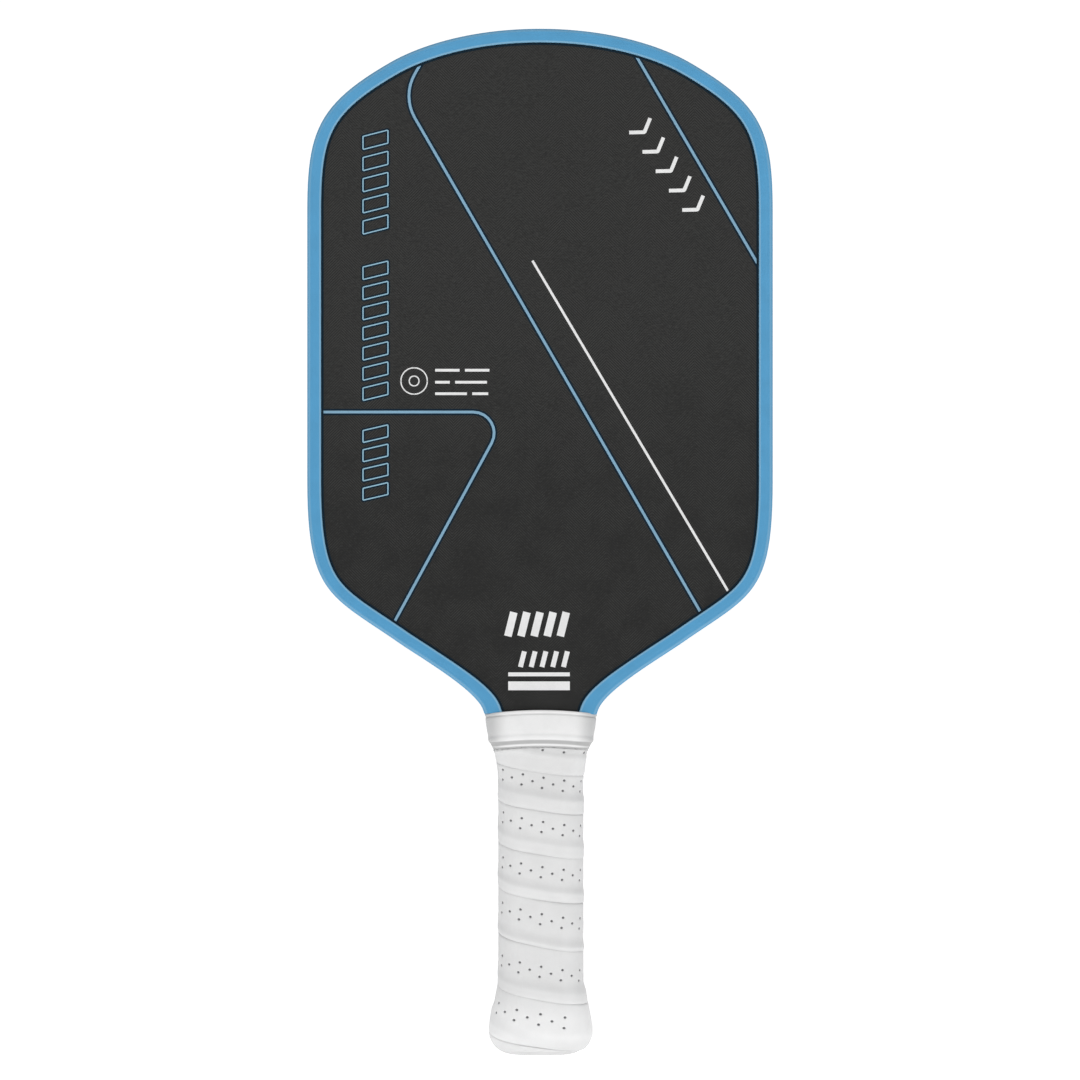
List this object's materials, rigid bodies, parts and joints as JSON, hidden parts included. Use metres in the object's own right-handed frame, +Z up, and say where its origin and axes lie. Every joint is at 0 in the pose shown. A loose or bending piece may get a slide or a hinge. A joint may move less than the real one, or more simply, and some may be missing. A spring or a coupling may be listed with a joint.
{
  "type": "pickleball paddle",
  "caption": "Flat paddle with a rounded head, a blue edge guard round two dark carbon faces, a white collar and a spiral-wrapped white grip that flares at the butt.",
  "frame": {"origin": "centre of the butt end, on the end badge's outer face", "axes": "+Z up the handle to the tip of the head; -Y out of the front face, with its printed lines; +X to the right of someone who looks at the front face"},
  "size_m": [0.1906, 0.0386, 0.4191],
  "materials": {
    "core_polymer": "satin polypropylene honeycomb",
    "edge_foam": null,
    "carbon_face": "matt grit texture over carbon laminate",
    "guard_blue": "smooth satin blue polymer",
    "adhesive": "dull adhesive strip",
    "pallet_foam": "dull moulded foam",
    "cap_white": "satin moulded white",
    "staple_steel": "bright wire",
    "grip_white": "soft white synthetic leather, perforated",
    "finishing_white": "thin satin tape",
    "collar_rubber": "smooth satin white rubber"
  },
  "bodies": {
    "root": {"honeycomb_core": "core_polymer", "perimeter_foam": "edge_foam", "front_face_sheet": "carbon_face", "back_face_sheet": "carbon_face", "edge_guard": "guard_blue", "edge_guard_tape": "adhesive", "handle_pallet_front": "pallet_foam", "handle_pallet_back": "pallet_foam", "butt_cap": "cap_white", "butt_cap_badge": "cap_white", "butt_cap_staple_left": "staple_steel", "butt_cap_staple_right": "staple_steel", "grip_tape": "grip_white", "finishing_tape": "finishing_white", "collar": "collar_rubber"}
  },
  "joints": []
}
